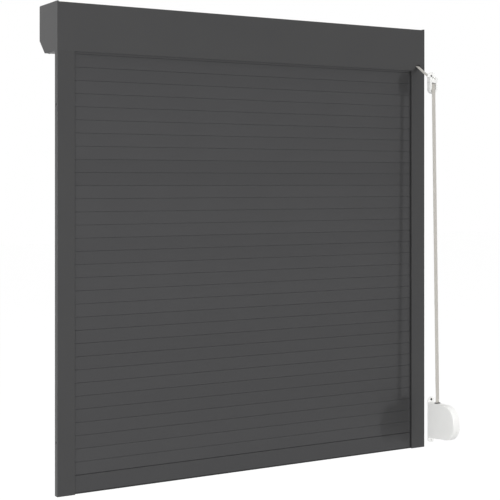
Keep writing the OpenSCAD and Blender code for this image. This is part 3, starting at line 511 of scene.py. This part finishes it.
slat_low, slat_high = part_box("top_slat")
slat_mid_y = (slat_low.y + slat_high.y) / 2
outline = slat_outline(SEAM / 2, SLAT_EDGE)
lowest_outline = slat_outline(SEAM / 2 + BAR_GAP, BAR_EDGE)
clip = clip_outline()
slat_nodes = sorted(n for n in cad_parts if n.startswith("slat_pair_")) + ["top_slat"]
lowest = min(slat_nodes, key=lambda n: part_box(n)[0].z)
for name in slat_nodes:
    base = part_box(name)[0].z - SEAM / 2
    clipped = lowest_outline if name == lowest else outline
    work = bmesh.new()
    extruded(work, clipped, slat_low.x + CLIP_T, slat_high.x - CLIP_T, slat_mid_y, base)
    extruded(work, clip, slat_low.x, slat_low.x + CLIP_T - CLIP_GAP, slat_mid_y, base, 1)
    extruded(work, clip, slat_high.x - CLIP_T + CLIP_GAP, slat_high.x, slat_mid_y, base, 1)
    if name != "top_slat":
        extruded(work, outline, slat_low.x, slat_high.x, slat_mid_y, base + SLAT_PITCH)
    slats = link("dressed_" + name, finish_mesh(work, name), coil_coat, black_plastic)
    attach(slats, "upper_slat" if name == "top_slat" else name.replace("slat_pair", "slats"))
    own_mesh(slats)
    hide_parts(name)


# Bottom bar: a stiff extruded profile with the same coat, a rubber seal in its groove and two
# buffers on the outdoor face that stop the curtain under the cassette.
# Seal rubber: dull black with a faint bloom in patches of 25 mm.
bar_coat = powder_coat("anthracite_bar_coat", "#353536", "#39393a")
dress(bar_coat, "bottom_bar")
seal_rubber, tree, shader = surface("seal_rubber", Roughness=0.8, IOR=1.52)
place = add(tree, "ShaderNodeTexCoord").outputs["Object"]
bloom = add(tree, "ShaderNodeTexNoise", {"Vector": place, "Scale": 1 / (25 * MM), "Detail": 3.0})
tone = add(tree, "ShaderNodeMix", {
    0: bloom.outputs["Fac"], 6: srgb("#0d0d0e"), 7: srgb("#171718")}, data_type="RGBA")
tree.links.new(tone.outputs[2], shader.inputs["Base Color"])
dress(seal_rubber, "bottom_seal")


# Strap: flat polyester webbing that leaves the cassette over a lip, bends over the guide's roller and
# runs taut down to the winder's spool. Lengthwise cords and round selvedges stand out of the weave.
STRAP_T = 1.2 * MM
EDGE_R = 0.6 * MM
CORDS = 9
CORD_DEEP = 0.07 * MM
CORD_STEPS = 36
TAUT_STEPS = 24
LIP_AT = (6.5 * MM, -57.3 * MM)
LIP_BEND = 5.9 * MM
OFF_COIL = 0.9 * MM
STRAP_DROP = 33
STRAP_LEAN = 1.1372
strap_low, strap_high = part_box("strap")
strap_x = (strap_low.x + strap_high.x) / 2
strap_half = (strap_high.x - strap_low.x) / 2


def middle_and_radius(name):
    low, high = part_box(name)
    return ((low.y + high.y) / 2, (low.z + high.z) / 2), (high.z - low.z) / 2


def bend(middle, radius, start, end, steps):
    angles = [math.radians(start + (end - start) * k / steps) for k in range(steps + 1)]
    return [(middle[0] + radius * math.cos(a), middle[1] + radius * math.sin(a)) for a in angles]


def swept(name, profile, route, x):
    work = bmesh.new()
    weave = work.loops.layers.uv.new("weave")
    rings, runs, run = [], [], 0
    for k, (y, z) in enumerate(route):
        y0, z0 = route[max(k - 1, 0)]
        y1, z1 = route[min(k + 1, len(route) - 1)]
        length = math.hypot(y1 - y0, z1 - z0)
        out_y, out_z = (z1 - z0) / length, -(y1 - y0) / length
        run += math.hypot(y - y0, z - z0)
        runs.append(run)
        rings.append([work.verts.new((x + a, y + out_y * b, z + out_z * b)) for a, b in profile])
    work.faces.new(rings[0])
    work.faces.new(rings[-1])
    for k in range(len(rings) - 1):
        for j in range(len(profile)):
            i = (j + 1) % len(profile)
            face = work.faces.new((rings[k][j], rings[k][i], rings[k + 1][i], rings[k + 1][j]))
            for loop, (across, along) in zip(face.loops, ((j, k), (i, k), (i, k + 1), (j, k + 1))):
                loop[weave].uv = (profile[across][0], runs[along])
    return finish_mesh(work, name, 60)


flat_half = strap_half - EDGE_R
ribbed = []
for k in range(CORD_STEPS + 1):
    dip = CORD_DEEP * (1 - math.cos(2 * math.pi * CORDS * k / CORD_STEPS))
    ribbed.append(((2 * k / CORD_STEPS - 1) * flat_half, STRAP_T / 2 - dip))
selvedge = [(flat_half + EDGE_R * math.sin(a), EDGE_R * math.cos(a))
            for a in [math.radians(30 * k) for k in range(1, 6)]]
profile = ribbed + selvedge + [(a, -b) for a, b in reversed(ribbed)] + [(-a, -b) for a, b in selvedge]
roller_mid, roller_r = middle_and_radius("guide_roller")
spool_mid, coil_r = middle_and_radius("spool_strap_coil")
roller_bend = roller_r + OFF_COIL
spool_bend = coil_r + OFF_COIL
lean = math.radians(STRAP_LEAN)
landing = (spool_mid[0] + spool_bend * math.cos(lean), spool_mid[1] - spool_bend * math.sin(lean))
over_lip = bend(LIP_AT, LIP_BEND, 90, 90 + STRAP_DROP, 8)
over_roller = bend(roller_mid, roller_bend, 90 + STRAP_DROP, 180 - STRAP_LEAN, 12)
leave_y, leave_z = over_roller[-1]
taut = []
for k in range(1, TAUT_STEPS + 1):
    gone = k / TAUT_STEPS
    taut.append((leave_y + (landing[0] - leave_y) * gone, leave_z + (landing[1] - leave_z) * gone))
route = [(strap_high.y, over_lip[0][1])] + over_lip + over_roller + taut

# Webbing: beige-grey polyester in plain weave, dull with a soft sheen. The picks are 1.2 mm long
# and are drawn twice as long so that they show.
PICK = (1.55 * MM, 2.4 * MM)
PICK_GAP = 0.25 * MM
WEBBING_SHEEN = {"Roughness": 0.82, "Sheen Weight": 0.15, "Sheen Roughness": 0.4}


def webbing(name, mapped):
    material, tree, shader = surface(name, **WEBBING_SHEEN)
    if mapped:
        place = add(tree, "ShaderNodeUVMap", uv_map="weave").outputs["UV"]
    else:
        place = add(tree, "ShaderNodeTexCoord").outputs["Object"]
    picks = add(tree, "ShaderNodeTexBrick", {
        "Vector": place, "Color1": srgb("#c0bdb6"), "Color2": srgb("#c9c7c1"), "Mortar": srgb("#a8a49e"),
        "Scale": 1.0, "Mortar Size": PICK_GAP, "Mortar Smooth": 0.6,
        "Brick Width": PICK[0], "Row Height": PICK[1]})
    wear = add(tree, "ShaderNodeTexNoise", {"Vector": place, "Scale": 1 / (33.3 * MM), "Detail": 3.0})
    tone = add(tree, "ShaderNodeMix", {
        0: wear.outputs["Fac"], 6: picks.outputs["Color"], 7: srgb("#c4c1bb")}, data_type="RGBA")
    tree.links.new(tone.outputs[2], shader.inputs["Base Color"])
    bump = add(tree, "ShaderNodeBump", {
        "Height": picks.outputs["Fac"], "Strength": 0.6, "Distance": 0.2 * MM}, invert=True)
    tree.links.new(bump.outputs[0], shader.inputs["Normal"])
    return material


band = link("taut_strap", swept("taut_strap", profile, route, strap_x), webbing("polyester_webbing", True))
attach(band, "frame")
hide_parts("strap")
dress(webbing("wound_polyester_webbing", False), "pulley_strap_coil", "spool_strap_coil")


# Strap guide: a white ABS plate with two cheeks, a rim and a hood over a plastic roller on a steel axle.
# Two screws fix it to the indoor wall. Roller and spool are moulded in natural acetal, a little duller.
white_abs = moulded("white_abs", "#efefed", "#f5f5f3", 0.34, 0.46, 0.1)
natural_pom = moulded("natural_pom", "#d9d9d3", "#e3e3dd", 0.35, 0.5, 0.15)
dress(white_abs, "guide_base", "guide_hood")
dress(natural_pom, "guide_roller", "strap_spool")
ease_edges(0.6 * MM, "guide_base", "guide_hood")


# Guide brush: black nylon bristles in a thin backing under the hood's edge. They wipe the strap and close the
# slot, and only their tips show. Their black tips also stand in for the shade in the slot where the strap
# leaves the hood: painted shade, with the shown length set by how dark that slot is.
BRISTLES = 64
BRISTLE_R = 0.18 * MM
BRISTLE_SHOWN = 1.4 * MM
SPLAY = 0.15 * MM
BACKING = (0.7 * MM, 3 * MM)
BACKING_UP = 2.1 * MM
HOOD_DROP = 1.5 * MM
HOOD_GAP = 1.35 * MM
brush_half = strap_half + 0.4 * MM
brush_y = roller_mid[0] - roller_bend - HOOD_GAP
hood_edge = roller_mid[1] - HOOD_DROP
work = bmesh.new()
backing = Matrix.Translation((strap_x, brush_y, hood_edge + BACKING_UP))
bmesh.ops.create_cube(work, size=1, matrix=backing @ Matrix.Diagonal((2 * brush_half, *BACKING, 1)))
for k in range(BRISTLES):
    x = strap_x + (2 * (k + 0.5) / BRISTLES - 1) * brush_half
    tip_x = x + SPLAY * math.sin(7 * k)
    tip_z = hood_edge - BRISTLE_SHOWN - 2 * SPLAY * math.sin(5 * k)
    ends = []
    for mid_x, z, radius in ((x, hood_edge + 1 * MM, BRISTLE_R), (tip_x, tip_z, 0.7 * BRISTLE_R)):
        square = ((-radius, -radius), (radius, -radius), (radius, radius), (-radius, radius))
        ends.append([work.verts.new((mid_x + a, brush_y + b, z)) for a, b in square])
    work.faces.new(ends[0])
    work.faces.new(ends[1])
    for j in range(4):
        i = (j + 1) % 4
        work.faces.new((ends[0][j], ends[0][i], ends[1][i], ends[1][j]))
brush = link("guide_brush", finish_mesh(work, "guide_brush"), black_pile)
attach(brush, "frame")


# Strap winder: two white ABS half shells, screwed together from the right; the left one carries the ears
# that are fixed to the wall. The whole edge of the case is rounded, and a fine joint runs along its middle.
CASE_RISE = 10 * MM
CASE_EDGE = 3.2 * MM
CASE_WALL = 2.4 * MM
JOINT = 0.35 * MM
TOP_SHARE = 0.47
LOW_SHARE = 0.42
INLET_Y = -101.5 * MM
INLET_HALF = (8 * MM, 3 * MM)
INLET_DEEP = 12 * MM
BACK_SCREW_Y = -77 * MM
LOW_SCREW_UP = 9 * MM
TOP_SCREW_DOWN = 10 * MM
FRONT_SCREW_IN = 7.4 * MM
SCREW_SINK = 1.5 * MM
SINK_R = 3.2 * MM
OVER = 1 * MM
EAR_HOLE = 2.25 * MM
EAR_BORE = 18 * MM
EAR_PITCH = 131 * MM
EAR_EDGE = 0.6 * MM
case_low, case_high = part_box("winder_cover")
flange_low, flange_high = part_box("winder_base")
case_half = case_high.x - strap_x
case_deep = case_high.y - case_low.y
slope = math.atan2(CASE_RISE, case_deep)
front_tall = case_high.z - case_low.z - CASE_RISE
round_top = TOP_SHARE * front_tall
round_low = LOW_SHARE * front_tall


def case_outline(inset, back=0.0):
    low_y = case_deep - round_low
    low_mid = (low_y, case_low.z + low_y * math.tan(slope) + round_low / math.cos(slope))
    top_mid = (case_deep - round_top, case_high.z - round_top)
    return (
        [(back, case_low.z + back * math.tan(slope) + inset / math.cos(slope))]
        + bend(low_mid, round_low - inset, math.degrees(slope) - 90, 0, 20)
        + bend(top_mid, round_top - inset, 0, 90, 20)
        + [(back, case_high.z - inset)]
    )


def skinned(work, rings):
    for lower, upper in zip(rings, rings[1:]):
        for k in range(len(lower)):
            j = (k + 1) % len(lower)
            work.faces.new((lower[k], lower[j], upper[j], upper[k]))


def lofted(name, rings):
    work = bmesh.new()
    drawn = [[work.verts.new((x, case_high.y - depth, z)) for depth, z in outline] for x, outline in rings]
    work.faces.new(drawn[0])
    work.faces.new(drawn[-1])
    skinned(work, drawn)
    return finish_mesh(work, name, 40)


def rod(name, start, length, radius, turn, steps):
    work = bmesh.new()
    turned(work, [(0, 0), (radius, 0), (radius, length), (0, length)], steps)
    bmesh.ops.transform(work, matrix=Matrix.Translation(start) @ turn, verts=work.verts)
    return finish_mesh(work, name)


along_x = Matrix.Rotation(math.radians(90), 4, "Y")
along_y = Matrix.Rotation(math.radians(-90), 4, "X")
work = bmesh.new()
inlet = Matrix.Translation((strap_x, INLET_Y, case_high.z + (OVER - INLET_DEEP) / 2))
cut = Matrix.Diagonal((2 * INLET_HALF[0], 2 * INLET_HALF[1], INLET_DEEP + OVER, 1))
bmesh.ops.create_cube(work, size=1, matrix=inlet @ cut)
inlet_slot = finish_mesh(work, "inlet_slot")
screw_mids = [
    (BACK_SCREW_Y, case_low.z + LOW_SCREW_UP), (BACK_SCREW_Y, case_high.z - TOP_SCREW_DOWN),
    (case_low.y + FRONT_SCREW_IN, case_low.z + CASE_RISE + round_low)]
halves = []
for side, name in ((-1, "ear_half"), (1, "screw_half")):
    rings = [(strap_x, case_outline(JOINT)), (strap_x + side * JOINT, case_outline(0))]
    for k in range(7):
        a = math.radians(15 * k)
        x = case_half - CASE_EDGE * (1 - math.sin(a))
        rings.append((strap_x + side * x, case_outline(CASE_EDGE * (1 - math.cos(a)))))
    inside = case_outline(CASE_WALL, CASE_WALL)
    hollow = [(strap_x - side * OVER, inside), (strap_x + side * (case_half - CASE_WALL), inside)]
    tools = [lofted(name + "_hollow", hollow), inlet_slot.copy()]
    if side > 0:
        for k, mid in enumerate(screw_mids):
            start = (case_high.x - SCREW_SINK, *mid)
            tools.append(rod(f"sink_{k}", start, SCREW_SINK + OVER, SINK_R, along_x, 32))
    halves.append(carved(name, lofted(name, rings), *tools))


def rounded_plate(name, x, z_low, z_high, half, y_back, y_front, edge):
    work = bmesh.new()
    line = bend((x, z_high - half), half, 0, 180, 24) + bend((x, z_low + half), half, 180, 360, 24)
    inner = []
    for a, b in line:
        mid_z = min(max(b, z_low + half), z_high - half)
        inner.append((x + (a - x) * (1 - edge / half), mid_z + (b - mid_z) * (1 - edge / half)))
    back = [work.verts.new((a, y_back, b)) for a, b in line]
    front = [work.verts.new((a, y_front + edge, b)) for a, b in line]
    rim = [work.verts.new((a, y_front, b)) for a, b in inner]
    work.faces.new(back)
    work.faces.new(rim)
    skinned(work, [back, front, rim])
    return finish_mesh(work, name, 50)


def joined(name, *meshes):
    work = bmesh.new()
    for mesh in meshes:
        work.from_mesh(mesh)
    return finish_mesh(work, name, 40)


ear_mid = (flange_low.z + flange_high.z) / 2
ear_holes = [ear_mid - EAR_PITCH / 2, ear_mid + EAR_PITCH / 2]
ears = rounded_plate(
    "ear_plate", strap_x, flange_low.z, flange_high.z, case_half, flange_high.y, case_high.y, EAR_EDGE)
bores = []
for k, z in enumerate(ear_holes):
    start = (strap_x, flange_high.y - EAR_BORE / 2, z)
    bores.append(rod(f"ear_hole_{k}", start, EAR_BORE, EAR_HOLE, along_y, 24))
ears = carved("ear_plate", ears, *bores)
ear_case = link("ear_case_half", joined("ear_case_half", halves[0], ears), white_abs)
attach(ear_case, "frame")
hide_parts("winder_base")
screw_case = link("screwed_case_half", joined("screwed_case_half", halves[1]), white_abs)
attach(screw_case, "frame")
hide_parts("winder_cover")


# Inlet collar: a black polyamide frame clipped into the winder's inlet, with a rounded mouth
# that spares the strap. Each ring is half width, half depth, corner radius and height, in millimetres.
COLLAR_RINGS = (
    (9.5, 4.5, 2, 0.0), (9.5, 4.5, 2, 2.0), (9.0, 4.0, 1.8, 2.5), (8.0, 2.9, 1.2, 2.5),
    (7.6, 2.4, 0.9, 2.0), (7.6, 2.4, 0.9, -4.0), (7.9, 2.9, 1.0, -4.0), (7.9, 2.9, 1.0, 0.0),
)


def rounded_frame(half_x, half_y, radius):
    line = []
    for turn, sx, sy in ((0, 1, 1), (90, -1, 1), (180, -1, -1), (270, 1, -1)):
        line += bend((sx * (half_x - radius), sy * (half_y - radius)), radius, turn, turn + 90, 5)
    return line


work = bmesh.new()
rings = []
for half_x, half_y, radius, height in COLLAR_RINGS:
    line = rounded_frame(half_x * MM, half_y * MM, radius * MM)
    rings.append([work.verts.new((strap_x + a, INLET_Y + b, case_high.z + height * MM)) for a, b in line])
skinned(work, rings + rings[:1])
collar = link("inlet_collar", finish_mesh(work, "inlet_collar"), black_plastic)
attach(collar, "frame")


# Case screws: bright steel pan-head screws that hold the two halves of the winder's case together.
# They are sunk in the right half, each turned a little further than the last.
CASE_HEAD = (3 * MM, 1.2 * MM)
CASE_SHANK = (1.5 * MM, 14 * MM)
sunk = cross_screw("sunk_head", *CASE_HEAD, *CASE_SHANK)
places = []
for k, mid in enumerate(screw_mids):
    turn = along_x @ Matrix.Rotation(math.radians(35 * k), 4, "Z")
    places.append(Matrix.Translation((case_high.x - SCREW_SINK, *mid)) @ turn)
case_screws = link("case_screw_set", gathered("case_screw_set", sunk, places), bright_pins)
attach(case_screws, "frame")
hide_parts("winder_screws")


# Screw sleeves: black polyamide collars, turned in profile, that sit in the wall screw holes of the guide and
# of the winder's upper ear, which has the wider one; the lower ear's hole is bare. They are painted shade:
# the dark rings stand in for the shade inside the holes, each as wide as its hole looks dark. The profile is
# radius and height in millimetres.
GUIDE_PITCH = 45 * MM
GUIDE_SHADE_FLANGE = 3.2
EAR_SHADE_FLANGE = 3.8
to_room = Matrix.Rotation(math.radians(90), 4, "X")


def hole_shade_sleeves(name, flange, heights):
    profile = (
        (1.5, -3), (2.05, -3), (2.05, 0), (flange, 0), (flange, 0.3),
        (flange - 0.3, 0.5), (1.7, 0.5), (1.5, 0.3), (1.5, -3))
    work = bmesh.new()
    turned(work, [(radius * MM, height * MM) for radius, height in profile])
    places = [Matrix.Translation((strap_x, case_high.y, z)) @ to_room for z in heights]
    sleeves = link(name, gathered(name, finish_mesh(work, name), places), black_plastic)
    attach(sleeves, "frame")


# Painted shade: dark rings in the guide's holes and the upper ear's hole, in place of the shade inside them.
guide_holes = (roller_mid[1] - GUIDE_PITCH / 2, roller_mid[1] + GUIDE_PITCH / 2)
hole_shade_sleeves("guide_sleeve_set", GUIDE_SHADE_FLANGE, guide_holes)
hole_shade_sleeves("winder_sleeve", EAR_SHADE_FLANGE, (max(ear_holes),))
